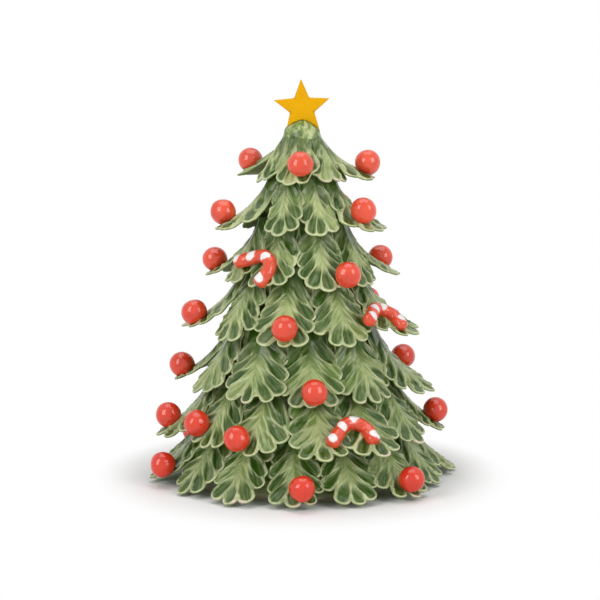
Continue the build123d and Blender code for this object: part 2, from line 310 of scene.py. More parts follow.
class Tier:
    """One ring of leaves, some reaching out and the others hanging."""

    def __init__(self, tier):
        self.tier = tier
        self.count = LEAF_COUNTS[tier]
        self.pitch = 360.0 / self.count
        self.azimuths = [FIRST_AZIMUTHS[tier] + self.pitch * index for index in range(self.count)]
        self.reaching = TierForm(tier, False)
        self.hanging = TierForm(tier, True)

    def leaf_form(self, index):
        return self.reaching if index + 1 in REACHING_LEAVES[self.tier] else self.hanging

    def form_at(self, azimuth):
        """Form of the leaf that an ornament at this azimuth sits on."""
        return self.leaf_form(round((azimuth - self.azimuths[0]) / self.pitch) % self.count)


TIERS = [Tier(tier) for tier in range(len(LEAF_COUNTS))]


def add_piece(name, points, faces, material, nodes, fields=None, uvs=None):
    """Makes a closed piece from arrays in millimetres: merges doubled points, turns faces outwards,
    shades it smooth and puts it in the frame."""
    mesh = bpy.data.meshes.new(name)
    mesh.from_pydata((points * MM).tolist(), [], faces.tolist())
    for key, values in (fields or {}).items():
        kind, entry = ("FLOAT", "value") if values.ndim == 1 else ("FLOAT_VECTOR", "vector")
        layer = mesh.attributes.new(key, kind, "POINT")
        layer.data.foreach_set(entry, values.astype(np.float32).ravel())
    if uvs is not None:
        layer = mesh.uv_layers.new(name="OFBake")
        layer.data.foreach_set("uv", uvs.astype(np.float32).ravel())
    work = bmesh.new()
    work.from_mesh(mesh)
    bmesh.ops.remove_doubles(work, verts=work.verts, dist=1e-6)
    bmesh.ops.recalc_face_normals(work, faces=work.faces)
    work.to_mesh(mesh)
    work.free()
    mesh.polygons.foreach_set("use_smooth", np.ones(len(mesh.polygons), bool))
    mesh.materials.append(material)
    mesh.update()
    piece = bpy.data.objects.new(name, mesh)
    bpy.context.scene.collection.objects.link(piece)
    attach(piece, "root")
    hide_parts(*nodes)


def grid_faces(rows, columns):
    """Quads of a grid of rows x columns points, closed round the columns."""
    row = np.arange(rows - 1)[:, None]
    column = np.arange(columns)[None, :]
    after = (column + 1) % columns
    near = row * columns
    far = near + columns
    quads = [near + column, near + after, far + after, far + column]
    return np.stack(np.broadcast_arrays(*quads), axis=-1).reshape(-1, 4)


def leaf_outline(form, sizes, draw):
    """Lobes and rim of a leaf laid flat. A fan of rays runs from the rib, turning from one root round the
    tip to the other; on each ray the rim lies where it leaves the last of the lobes, which are rounded
    slots from the rib to their ends, or at the waist that joins the lobes, if that is farther."""
    radius = sizes.lobe_width / MM / 2.0
    reach = sizes.lobe_length / MM
    alongs, shares = np.array(form.side_lobes).T
    down = alongs * form.rim_length
    half = shares * (form.half_angle * form.section(down, 0.0)[0] * sizes.overlap - radius)
    half = np.maximum(half, LEAST_LOBE_REACH * radius)
    tip_down = form.rim_length - radius
    end_x = np.concatenate([half, [0.0], -half[::-1]])
    end_y = np.concatenate([down, [tip_down], down[::-1]])
    starts = np.concatenate([down - reach, [tip_down - TIP_LOBE_LENGTH * reach], (down - reach)[::-1]])
    count = len(end_x)
    ends = np.stack([end_x, end_y], -1) + draw.uniform(-LOBE_SHIFT, LOBE_SHIFT, (count, 2))
    radii = radius * draw.uniform(*LOBE_GIRTHS, count)
    ribs = np.stack([np.zeros(count), starts], -1)

    root_top = -form.pad + ROOT_LIP
    root_radius = float(form.section(-form.pad, 0.0)[0])
    root_half = min(ROOT_HALF_WIDTH, form.half_angle * root_radius * ROOT_OVERLAP)
    heading = np.arctan2(ends[:, 0], ends[:, 1] - starts)
    heading = np.minimum.accumulate(np.concatenate([[0.5 * math.pi], heading, [-0.5 * math.pi]]))
    knots = np.arange(count + 2)
    turn = np.arange((count + 1) * RAYS_PER_LOBE + 1) / RAYS_PER_LOBE
    rib = np.interp(turn, knots, np.concatenate([[root_top], starts, [root_top]]))
    heading = np.interp(turn, knots, heading)
    ray = np.stack([np.sin(heading), np.cos(heading)], -1)
    foot = np.stack([np.zeros(len(turn)), rib], -1)

    slot = LOBE_DISCS[None, :, None]
    discs = (ribs[:, None] * (1.0 - slot) + ends[:, None] * slot)[None] - foot[:, None, None]
    ahead = (discs * ray[:, None, None]).sum(-1)
    inside = ahead**2 - (discs**2).sum(-1) + radii[None, :, None] ** 2
    leave = np.where(inside > 0.0, ahead + np.sqrt(np.maximum(inside, 0.0)), 0.0)
    waist = LOBE_WAIST * (np.linalg.norm(ends - ribs, axis=1) + radii)
    waist = np.interp(turn, knots, np.concatenate([[root_half], waist, [root_half]]))
    rim = foot + ray * np.maximum(leave.max((1, 2)), waist)[:, None]

    # Across the top of the pad, from the left root back to the right one
    share = np.linspace(0.0, 1.0, TOP_EDGE_RAYS + 2)[1:-1, None]
    top_edge = rim[-1] * (1.0 - share) + rim[0] * share
    top_edge[:, 1] = -form.pad
    rim = np.concatenate([rim, top_edge])
    rib = np.concatenate([rib, np.full(TOP_EDGE_RAYS, root_top)])
    turn = np.concatenate([turn, np.full(TOP_EDGE_RAYS, count + 1.0)])
    return rim, rib, turn, ribs, ends, radii


# Grid of a leaf: shares of the way from the rib to the rim above, round the rim and back beneath
TOP_ROWS = np.array([
    0.0, 0.06, 0.13, 0.20, 0.27, 0.34, 0.41, 0.48, 0.55, 0.61, 0.67, 0.73, 0.78, 0.83, 0.87, 0.905, 0.935,
    0.96, 0.98, 1.0,
])
RIM_ROWS = np.array([0.2, 0.5, 0.8])
UNDER_ROWS = np.array([1.0, 0.94, 0.82, 0.6, 0.3, 0.0])
RAYS_PER_LOBE = 15
TOP_EDGE_RAYS = 6
# Leaf form, in millimetres or as shares of the lobe's radius, length or press
ROOT_LIP = 0.8
ROOT_HALF_WIDTH = 8.0
ROOT_OVERLAP = 1.05
LOBE_WAIST = 0.68
LOBE_DISCS = np.linspace(0.35, 1.0, 8)
LEAST_LOBE_REACH = 0.8
TIP_LOBE_LENGTH = 0.9
PRESS_HEAD = 0.20
PRESS_OVERRUN = 0.14
PRESS_WIDTHS = (0.16, 0.58)
LEAST_CLAY = 0.9
LIP_HEIGHT = 0.3
LIP_PALENESS = 0.45
RIB_HEIGHT = 0.7
RIB_GLOW = 0.5
# Strength of the painted shade at each leaf's root, where the tier above overhangs it
ROOT_PAINTED_SHADE = 0.72
WAVE_HEIGHT = 0.25
SEAT_GAP = 0.2
# How far one leaf differs from the next
LOBE_SHIFT = 1.5
LOBE_GIRTHS = (0.82, 1.14)
PRESS_DEPTHS = (0.65, 1.25)
POOL_STRENGTHS = (0.2, 0.7, 0.9, 1.0, 1.0)
POOL_EVENNESS = (0.85, 1.0)
EDGE_LIFTS = (0.8, 2.0)
TIP_LIFTS = (0.0, 1.8)
MOST_CURL = 1.4
MOST_YAW = 0.07
PALE_SHARE = 0.30
CHIP_STRENGTH = 0.8
CHIP_THRESHOLD = 0.8


def leaf_arrays(form, azimuth, sizes, draw, worn):
    """One pressed leaf as a closed sheet. Rows run from the rib out over the upper face to the rim, round
    the rim and back under to the rib; columns run once round the outline. The upper face lies the clay's
    thickness above the arc, sunk in each lobe by a finger press, which is a smooth step of the distance
    to a line from near the rib to the lobe's end, with a raised edge round it and a raised rib between."""
    rim, rib, order, ribs, ends, radii = leaf_outline(form, sizes, draw)
    lobes = len(ends)
    thick = sizes.thickness / MM
    rim_thick = sizes.rim_thickness / MM
    depths = sizes.press_depth / MM * draw.uniform(*PRESS_DEPTHS, lobes)
    pools = draw.choice(POOL_STRENGTHS, lobes) * draw.uniform(*POOL_EVENNESS, lobes)
    twist = draw.uniform(*EDGE_LIFTS)
    tip_rise = draw.uniform(*TIP_LIFTS)
    curl = draw.uniform(-MOST_CURL, MOST_CURL)
    phase = draw.uniform(0.0, TAU, 4)
    yaw = draw.uniform(-MOST_YAW, MOST_YAW)
    tint = draw.uniform(0.0, 1.0)
    pale = PALE_SHARE * (0.35 + 0.65 * tint) * form.paleness
    seed_shift = draw.uniform(0.0, 50.0)
    chip = 1.0 if worn else CHIP_STRENGTH * float(draw.uniform(0.0, 1.0) > CHIP_THRESHOLD)

    length = np.hypot(rim[:, 0], rim[:, 1] - rib)
    outward = np.stack([rim[:, 0], rim[:, 1] - rib], -1) / np.maximum(length, 1e-6)[:, None]
    half_width = np.abs(rim[:, 0]).max()

    def body(sideways, down):
        """Bend of the whole leaf: a lift that grows to the tip, one edge over its neighbour, curl and
        slow hand-made waves."""
        along = np.clip(down / form.length, 0.0, 1.2)
        side = sideways / half_width
        waves = np.sin(0.21 * sideways + phase[0]) * np.sin(0.13 * down + phase[1])
        waves = waves + 0.5 * np.sin(0.43 * sideways + phase[2]) * np.sin(0.37 * down + phase[3])
        lift = tip_rise * along**2 + twist * smooth(0.0, 0.6, along) * (0.5 + 0.5 * side)
        lift = lift + curl * smooth(0.1, 0.8, along) * side**2
        return lift + WAVE_HEIGHT * waves * smooth(0.0, 0.4, along) + SEAT_GAP

    def flat(share):
        """Grid of the flat leaf at shares of the way from rib to rim."""
        sideways = share[:, None] * rim[None, :, 0]
        down = rib[None] + share[:, None] * (rim[None, :, 1] - rib[None])
        return sideways, down

    def swung(sideways, down):
        """Sideways places once the leaf is turned a little about its root."""
        return sideways + yaw * np.maximum(down, 0.0)

    def rim_distance(sideways, down):
        """Distance to the nearest point of the rim."""
        spots = np.stack([sideways, down], -1)
        return np.sqrt(((spots[:, :, None] - rim[None, None]) ** 2).sum(-1).min(-1))

    sideways, down = flat(TOP_ROWS)
    to_rim = rim_distance(sideways, down)
    # Finger presses: distance to each press line, as a share of the finger's half width there
    spots = np.stack([sideways, down], -1)[:, :, None]
    axis = ends - ribs
    reach = np.linalg.norm(axis, axis=1)
    head = ribs + PRESS_HEAD * axis
    run = axis * (1.0 - PRESS_HEAD + PRESS_OVERRUN * radii / reach)[:, None]
    share = np.clip(((spots - head) * run).sum(-1) / (run**2).sum(-1), 0.0, 1.0)
    gap = np.linalg.norm(spots - head - share[..., None] * run, axis=-1)
    gap = gap / (radii * (PRESS_WIDTHS[0] + PRESS_WIDTHS[1] * smooth(0.0, 0.7, share)))
    pressed = smooth(1.0, 0.50, gap) * smooth(0.0, 0.45, share)
    # Where two presses meet a thin ridge of clay stays between them
    nearest, second = np.moveaxis(np.sort(gap, -1)[..., :2], -1, 0)
    parted = smooth(0.04, 0.42, second - nearest)
    sink = (pressed * depths).max(-1) * (0.35 + 0.65 * parted)
    pool_and_shade = (smooth(1.15, 0.62, gap) * smooth(0.0, 0.60, share) * pools).max(-1) * parted
    along = down / form.length
    # Painted shade: the root half of each leaf, under the tier above, is darkened towards the pool colour
    pool_and_shade = np.maximum(pool_and_shade, ROOT_PAINTED_SHADE * smooth(0.52, 0.20, along))
    pool_and_shade = pool_and_shade + form.depth * (1.0 - pool_and_shade)
    edge_line = np.exp(-(((nearest - 1.12) / 0.22) ** 2))
    edge_line = np.maximum(edge_line, smooth(0.20, 0.02, second - nearest) * smooth(1.3, 1.0, nearest))
    edge_line = edge_line * smooth(0.15, 0.5, share.max(-1))
    # The rib: a ridge that narrows to the tip, and a wider paleness along it
    within = np.clip(along, 0.0, 1.0)
    ridge = RIB_HEIGHT * np.exp(-((sideways / (2.6 - 1.4 * within)) ** 2))
    ridge = ridge * smooth(-2.0, 10.0, down) * smooth(1.0, 0.75, along)
    rib_glow = RIB_GLOW * np.exp(-((sideways / (3.0 + 3.0 * within)) ** 2)) * smooth(0.25, 0.6, along)
    clay = rim_thick + (thick - rim_thick) * smooth(0.0, 3.2, to_rim)
    top_lift = clay - np.minimum(sink, clay - LEAST_CLAY) + LIP_HEIGHT * edge_line + ridge
    top_lift = top_lift + body(sideways, down)
    top = form.place(swung(sideways, down), down, top_lift, azimuth)

    turn = RIM_ROWS[:, None] * math.pi
    bulge = 0.35 * rim_thick * np.sin(turn)
    rim_side = rim[None, :, 0] + outward[None, :, 0] * bulge
    rim_down = rim[None, :, 1] + outward[None, :, 1] * bulge
    low_lift = 0.2 * rim_thick
    fall = 0.5 - 0.5 * np.cos(turn)
    high_lift = top_lift[-1] - body(sideways[-1], down[-1])
    edge_lift = high_lift[None] * (1.0 - fall) + low_lift * fall + body(rim_side, rim_down)
    edge = form.place(swung(rim_side, rim_down), rim_down, edge_lift, azimuth)

    under_side, under_down = flat(UNDER_ROWS)
    under_lift = low_lift * (1.0 - smooth(0.0, 2.2, rim_distance(under_side, under_down)))
    under_lift = under_lift + body(under_side, under_down)
    under = form.place(swung(under_side, under_down), under_down, under_lift, azimuth)

    parts = (TOP_ROWS, RIM_ROWS, UNDER_ROWS)
    rows = sum(len(part) for part in parts)
    columns = len(rib)
    points = np.concatenate([top, edge, under]).reshape(-1, 3)
    faces = grid_faces(rows, columns)

    blank_top, blank_edge, blank_under = (np.zeros((len(part), columns)) for part in parts)
    beyond = smooth(-3.0, 6.0, rim[:, 1])[None]
    rim_line = (1.0 - smooth(0.05, 0.55, to_rim)) * beyond
    break_line = np.maximum(rim_line, LIP_PALENESS * edge_line)
    edge_break = (1.0 - RIM_ROWS[:, None]) ** 2 * beyond
    tip_down = 0.93 * form.rim_length, 0.98 * form.rim_length

    def whole(above, round_rim, beneath):
        return np.concatenate([above, round_rim, beneath]).ravel()

    flat_side = whole(sideways, rim_side, under_side)
    flat_down = whole(down, rim_down, under_down)
    fields = {
        "pool_and_shade": whole(pool_and_shade, blank_edge, blank_under),
        "rim": whole(break_line, edge_break, blank_under),
        "under": whole(blank_top, blank_edge + RIM_ROWS[:, None], blank_under + 1.0),
        "tint": whole(pale + rib_glow, blank_edge + pale, blank_under),
        "chip": chip * whole(
            smooth(*tip_down, down) * smooth(2.2, 0.8, to_rim), smooth(*tip_down, rim_down), blank_under,
        ),
        "stroke": np.stack([
            np.tile(order * 3.0, rows) + seed_shift,
            np.concatenate([TOP_ROWS, np.ones(len(RIM_ROWS)), UNDER_ROWS]).repeat(columns) * 1.4,
            np.full(len(points), tint * 9.0),
        ], -1),
    }
    # Baking layout: the upper face on the left half of the square and the underside on the right
    span = max(2.0 * np.abs(flat_side).max(), 1.0)
    tall = flat_down.max() - flat_down.min()
    across_uv = 0.02 + 0.46 * (flat_side / span + 0.5)
    down_uv = 0.02 + 0.96 * (flat_down - flat_down.min()) / tall
    beneath = np.arange(len(faces)) // columns >= len(TOP_ROWS) + 1
    uvs = np.stack([across_uv[faces] + 0.5 * beneath[:, None], down_uv[faces]], -1)
    return points, faces, fields, uvs.reshape(-1, 2)


def join(tree, node, inputs):
    """Joins each of these inputs to a socket, or sets it to a value or to a colour with full alpha."""
    for key, value in inputs.items():
        if isinstance(value, bpy.types.NodeSocket):
            tree.links.new(value, node.inputs[key])
        else:
            node.inputs[key].default_value = (*value, 1.0) if isinstance(value, Color) else value


def put(tree, kind, inputs=None, **settings):
    """Adds a node with its settings and inputs."""
    node = tree.nodes.new(kind)
    for key, value in settings.items():
        setattr(node, key, value)
    join(tree, node, inputs or {})
    return node


def mix(tree, share, first, second):
    """Colour mix: share 0 gives the first, 1 the second."""
    node = put(tree, "ShaderNodeMix", {0: share, 6: first, 7: second}, data_type="RGBA")
    return node.outputs[2]


def maths(tree, operation, first, second):
    """Sum, product or other operation on two values."""
    node = put(tree, "ShaderNodeMath", {0: first, 1: second}, operation=operation)
    return node.outputs[0]


def ranged(tree, value, low, high, out_low=0.0, out_high=1.0):
    """Smooth step of a value between low and high."""
    inputs = {0: value, 1: low, 2: high, 3: out_low, 4: out_high}
    return put(tree, "ShaderNodeMapRange", inputs, interpolation_type="SMOOTHSTEP").outputs[0]


def field(tree, key, output="Fac"):
    """Value that the piece's points carry under this name."""
    return put(tree, "ShaderNodeAttribute", attribute_name=key).outputs[output]


def noise(tree, where, scale, detail, roughness):
    inputs = {"Vector": where, "Scale": scale, "Detail": detail, "Roughness": roughness}
    return put(tree, "ShaderNodeTexNoise", inputs).outputs["Fac"]


def new_group(name, inputs, outputs):
    """Empty node group with its sockets, each a label and a kind, and with its end nodes' sockets."""
    group = bpy.data.node_groups.new(name, "ShaderNodeTree")
    for in_out, sockets in (("INPUT", inputs), ("OUTPUT", outputs)):
        for label, kind in sockets.items():
            group.interface.new_socket(label, in_out=in_out, socket_type=f"NodeSocket{kind}")
    return group, put(group, "NodeGroupInput").outputs, put(group, "NodeGroupOutput").inputs


def glaze_mottle_group():
    """Shared glaze variation: Mask is soft cloudiness and Ripple the slow unevenness of a thick glaze."""
    group = bpy.data.node_groups.get("glaze_mottle")
    if group:
        return group
    group, ins, outs = new_group(
        "glaze_mottle", {"Vector": "Vector", "Scale": "Float", "Low": "Float", "High": "Float"},
        {"Mask": "Float", "Ripple": "Float"},
    )
    cloud = noise(group, ins["Vector"], ins["Scale"], 3.0, 0.55)
    finer = maths(group, "MULTIPLY", ins["Scale"], 1.7)
    group.links.new(ranged(group, cloud, ins["Low"], ins["High"]), outs["Mask"])
    group.links.new(noise(group, ins["Vector"], finer, 1.0, 0.4), outs["Ripple"])
    return group


def glaze_break_group():
    """Shared edge effect: a glaze that thins over an edge shows a paler colour there."""
    group = bpy.data.node_groups.get("glaze_break")
    if group:
        return group
    group, ins, outs = new_group(
        "glaze_break", {"Glaze": "Color", "Thin": "Color", "Edge": "Float", "Wander": "Float"},
        {"Colour": "Color"},
    )
    share = maths(group, "MULTIPLY", ins["Edge"], ranged(group, ins["Wander"], 0.2, 0.8, 0.7, 1.0))
    group.links.new(mix(group, share, ins["Glaze"], ins["Thin"]), outs["Colour"])
    return group


def new_material(name):
    """Material with its node tree and its Principled shader."""
    material = bpy.data.materials.new(name)
    material.use_nodes = True
    tree = material.node_tree
    tree.nodes.clear()
    shader = put(tree, "ShaderNodeBsdfPrincipled")
    put(tree, "ShaderNodeOutputMaterial", {0: shader.outputs[0]})
    return material, tree, shader


def glazed(name, glaze):
    """Material of this name, which is made once, by a function that lays the glaze on its shader."""
    material = bpy.data.materials.get(name)
    if material is None:
        material, tree, shader = new_material(name)
        glaze(tree, shader, bpy.context.scene.tree_glazes)
    return material


def mottle(tree, scale, low=0.35, high=0.65):
    """Mask and Ripple of the shared glaze variation, at the piece's own coordinates."""
    where = put(tree, "ShaderNodeTexCoord").outputs["Object"]
    inputs = {"Vector": where, "Scale": scale, "Low": low, "High": high}
    return put(tree, "ShaderNodeGroup", inputs, node_tree=glaze_mottle_group()).outputs[:]


def seen_directly(tree):
    """1 for rays from the camera, a mirror or glass, and 0 for those that only carry light."""
    rays = put(tree, "ShaderNodeLightPath").outputs
    seen = maths(tree, "MAXIMUM", rays["Is Camera Ray"], rays["Is Glossy Ray"])
    return maths(tree, "MAXIMUM", seen, rays["Is Transmission Ray"])


def brush_strokes(tree):
    """Streaks along the way that the brush went."""
    return noise(tree, field(tree, "stroke", "Vector"), 1.0, 3.0, 0.6)


def glossy(tree, shader, colour, ripple, roughness, specular, height):
    """Glaze of a colour and a gloss, with the ripple of a thick glaze as bump."""
    bump = put(tree, "ShaderNodeBump", {"Strength": 0.35, "Distance": height, "Height": ripple}).outputs[0]
    join(tree, shader, {
        "Base Color": colour, "Roughness": roughness, "Specular IOR Level": specular, "Normal": bump,
    })


def leaf_glaze(tree, shader, colours):
    """Brushed green glaze: thin and pale on ribs, dark where it pools in the presses and in painted shade at
    the leaves' roots under the tier above, and broken to a pale line over every rim and ridge."""
    mask, ripple = mottle(tree, 75.0)
    brush = brush_strokes(tree)
    streak = ranged(tree, brush, 0.41, 0.60)
    thin = maths(tree, "MULTIPLY", streak, ranged(tree, mask, 0.0, 1.0, 0.55, 1.0))
    base = mix(tree, thin, colours.leaf_mid, colours.leaf_light)
    paled = maths(tree, "MULTIPLY", field(tree, "tint"), ranged(tree, brush, 0.3, 0.6, 0.45, 1.1))
    tinted = mix(tree, paled, base, colours.leaf_light)
    # Glaze pooled in the presses, and painted shade at the roots under the tier above
    pool_and_shade = ranged(tree, field(tree, "pool_and_shade"), 0.06, 0.90)
    pool_and_shade = maths(tree, "MULTIPLY", pool_and_shade, ranged(tree, brush, 0.25, 0.75, 1.0, 0.72))
    pooled_and_shaded = mix(tree, pool_and_shade, tinted, colours.leaf_pool_and_shade)
    broken = put(tree, "ShaderNodeGroup", node_tree=glaze_break_group(), inputs={
        "Glaze": pooled_and_shaded, "Thin": colours.leaf_rim, "Edge": field(tree, "rim"), "Wander": brush,
    }).outputs[0]
    chipped = maths(tree, "MULTIPLY", field(tree, "chip"), ranged(tree, ripple, 0.40, 0.50))
    bare = mix(tree, chipped, broken, colours.clay)
    under = field(tree, "under")
    coloured = mix(tree, under, bare, colours.leaf_under)
    glossy(tree, shader, coloured, ripple, 0.20, 0.16, 0.0012)
    # Glossy above, matt and without a coat beneath
    join(tree, shader, {
        "Roughness": ranged(tree, under, 0.2, 0.9, 0.20, 0.65),
        "Coat Weight": ranged(tree, under, 0.2, 0.9, 0.28, 0.0), "Coat Roughness": 0.08,
    })


def core_glaze(tree, shader, colours):
    """Green glaze over the tip and wall, bare clay inside the hollow and under the foot."""
    ripple = mottle(tree, 70.0)[1]
    brush = brush_strokes(tree)
    glaze = mix(tree, ranged(tree, brush, 0.40, 0.62), colours.leaf_mid, colours.leaf_light)
    glaze = mix(tree, field(tree, "pool_and_shade"), glaze, colours.leaf_pool_and_shade)
    coloured = mix(tree, field(tree, "bare"), glaze, colours.clay)
    glossy(tree, shader, coloured, ripple, 0.3, 0.5, 0.0015)


def bauble_glaze(tree, shader, colours):
    """Orange-red glaze with painted top light, lighter on the upper tiers and darker on the lower ones, and
    deeper in soft clouds and towards the side that sits on the leaf.
    """
    mask, ripple = mottle(tree, 130.0, 0.35, 0.75)
    # Painted top light: the red darkens from the crown's tier to the skirt's
    red = mix(tree, field(tree, "painted_shade_level"), colours.bauble, colours.bauble_low_shaded)
    deep = maths(tree, "MULTIPLY", mask, 0.35)
    deep = maths(tree, "MAXIMUM", deep, field(tree, "low"))
    coloured = mix(tree, deep, red, colours.bauble_deep)
    glossy(tree, shader, coloured, ripple, 0.12, 0.55, 0.0012)


def cane_glaze(tree, shader, colours):
    """Red glaze with brushed white dabs along the rod."""
    mask, ripple = mottle(tree, 220.0, 0.3, 0.7)
    deep = maths(tree, "MULTIPLY", mask, 0.32)
    red = mix(tree, deep, colours.cane_red, colours.bauble_deep)
    wobble = maths(tree, "ADD", field(tree, "dab"), maths(tree, "MULTIPLY", ripple, 0.5))
    white = ranged(tree, wobble, 1.42, 1.08)
    coloured = mix(tree, white, red, colours.cane_white)
    glossy(tree, shader, coloured, ripple, 0.12, 0.55, 0.0010)


def star_glaze(tree, shader, colours):
    """Even orange-yellow glaze, a little deeper in soft clouds."""
    mask, ripple = mottle(tree, 110.0, 0.4, 0.8)
    deep = maths(tree, "MULTIPLY", mask, 0.3)
    coloured = mix(tree, deep, colours.star, colours.star_deep)
    glossy(tree, shader, coloured, ripple, 0.5, 0.12, 0.0006)


def add_aimed(name, data, spot, target):
    """Adds a lamp or a camera at a spot, turned to its target."""
    item = bpy.data.objects.new(name, data)
    item.location = spot
    item.rotation_euler = (Vector(target) - item.location).to_track_quat("-Z", "Y").to_euler()
    bpy.context.scene.collection.objects.link(item)
    return item


class TREE_OT_core(Operator):
    """Adds the hollow core with the collar of clay that joins the star and the crown's leaves."""

    bl_idname = "ceramic_tree.core"
    bl_label = "Hollow core"

    def execute(self, context):
        hollow = CORE_HEIGHT - TIP_PLUG_HEIGHT
        inner_foot = CORE_FOOT_RADIUS - CORE_WALL
        inner_top = inner_foot - CORE_TAPER * hollow
        # Radius, height and bareness of the wall's section, from the inside top round the foot to the tip
        section = np.array([
            (0.01, hollow, 1), (inner_top - 2.0, hollow, 1), (inner_top, hollow - 2.0, 1),
            (inner_foot, 1.0, 1), (inner_foot + 1.0, 0.0, 1),
            (CORE_FOOT_RADIUS - 1.2, 0.0, 1), (CORE_FOOT_RADIUS, 1.2, 0.6),
            (CORE_FOOT_RADIUS - 4.0 * CORE_TAPER, 4.0, 0),
            (TIP_CONE_RADIUS + 8.0 * CORE_TAPER, CORE_HEIGHT - TIP_CONE_HEIGHT - 8.0, 0),
        ])
        rise = np.linspace(0.0, len(COLLAR) - 1.0, COLLAR_ROWS)
        radii, heights = (np.interp(rise, np.arange(len(COLLAR)), values) for values in zip(*COLLAR))
        section = np.concatenate([section, np.stack([radii, heights, np.zeros(COLLAR_ROWS)], -1)])
        turn = np.linspace(0.0, TAU, CORE_COLUMNS, endpoint=False)
        # Fluted by the brush and thumb above the roots of the crown's leaves
        above = smooth(*FLUTE_HEIGHTS, section[:, 1])[:, None]
        flutes = 0.018 * np.sin(3.0 * turn + 0.6) + 0.012 * np.sin(7.0 * turn + 0.16 * section[:, 1, None])
        radius = section[:, 0, None] * (1.0 + flutes * above)
        height = np.broadcast_to(section[:, 1, None], radius.shape)
        points = np.stack([radius * np.sin(turn), -radius * np.cos(turn), height], -1).reshape(-1, 3)
        # Dark glaze pools along the star's two faces and in a thumb mark at the front
        to_star = np.abs(points[:, 1]) - context.scene.tree_ornaments.star_thickness / MM / 2.0
        joint = smooth(2.0, 0.9, to_star) * smooth(*JOINT_HEIGHTS, points[:, 2])
        across = (points[:, 0] - THUMB_MARK[0]) / THUMB_MARK_REACH[0]
        upward = (points[:, 2] - THUMB_MARK[1] - 0.35 * points[:, 0]) / THUMB_MARK_REACH[1]
        mark = 0.7 * smooth(1.25, 0.55, np.hypot(across, upward)) * (points[:, 1] < 0.0)
        around = np.tile(turn, len(section))
        fields = {
            "bare": np.repeat(section[:, 2], CORE_COLUMNS),
            "pool_and_shade": np.maximum(joint, mark),
            "stroke": np.stack([2.6 * np.sin(around), 2.6 * np.cos(around), 0.16 * points[:, 2]], -1),
        }
        faces = grid_faces(len(section), CORE_COLUMNS)
        material = glazed("core_clay_and_glaze", core_glaze)
        add_piece("core", points, faces, material, ["hollow_core"], fields)
        return {"FINISHED"}


class TREE_OT_leaves(Operator):
    """Adds the seven tiers of pressed leaves."""

    bl_idname = "ceramic_tree.leaves"
    bl_label = "Leaves"

    def execute(self, context):
        sizes = context.scene.tree_leaves
        material = glazed("brushed_leaf_glaze", leaf_glaze)
        for number, tier in enumerate(TIERS, start=1):
            for index, azimuth in enumerate(tier.azimuths):
                draw = np.random.default_rng([sizes.seed, number, index])
                worn = (number, index + 1) in WORN_LEAVES
                points, faces, fields, uvs = leaf_arrays(tier.leaf_form(index), azimuth, sizes, draw, worn)
                add_piece(f"leaf_tier{number}_{index + 1}", points, faces, material,
                          [f"leaves_tier{number}"], fields, uvs)
        return {"FINISHED"}


class TREE_OT_baubles(Operator):
    """Adds the hand-rolled baubles."""

    bl_idname = "ceramic_tree.baubles"
    bl_label = "Baubles"

    def execute(self, context):
        material = glazed("red_bauble_glaze", bauble_glaze)
        radius = context.scene.tree_ornaments.bauble_diameter / MM / 2.0
        rows, columns = BAUBLE_GRID
        polar = np.linspace(0.0, math.pi, rows)[:, None]
        turn = np.linspace(0.0, TAU, columns, endpoint=False)[None]
        ball = np.stack(np.broadcast_arrays(
            np.sin(polar) * np.cos(turn), np.sin(polar) * np.sin(turn), np.cos(polar)), -1)
        faces = grid_faces(rows, columns)
        places = [(number, index, azimuth, along) for number, ring in enumerate(BAUBLE_PLACES, start=1)
                  for index, (azimuth, along) in enumerate(ring, start=1)]
        for number, index, azimuth, along in places:
            name = f"bauble_tier{number}_{index}"
            draw = np.random.default_rng([BAUBLE_SEED, number, index])
            form = TIERS[number - 1].form_at(azimuth)
            down = along * form.length
            frame_axes = np.array(form.axes(down, azimuth))
            centre = form.place(0.0, down, BAUBLE_LIFT, azimuth)
            # Hand-rolled: a sphere with three slow waves, pressed flat where it sits on the leaf
            waves = draw.normal(0.0, 1.0, (3, 3))
            phase = draw.uniform(0.0, TAU, 3)
            lumps = sum(BAUBLE_LUMPS * np.sin(ball @ waves[k] * 1.6 + phase[k]) for k in range(3))
            shape = ball * (1.0 + lumps)[..., None]
            high = shape[..., 2]
            pressed = BAUBLE_SEAT + SEAT_GIVE * (high - BAUBLE_SEAT)
            shape[..., 2] = np.where(high < BAUBLE_SEAT, pressed, high)
            points = (centre + radius * shape @ frame_axes).reshape(-1, 3)
            # Painted top light by tier, and a darkening towards the side that sits on the leaf
            fields = {
                "low": smooth(-0.3, -0.95, ball[..., 2]).ravel() * 0.8,
                "painted_shade_level": np.full(rows * columns, (number - 1) / (len(TIERS) - 1)),
            }
            add_piece(f"visual_{name}", points, faces, material, [name], fields)
        return {"FINISHED"}


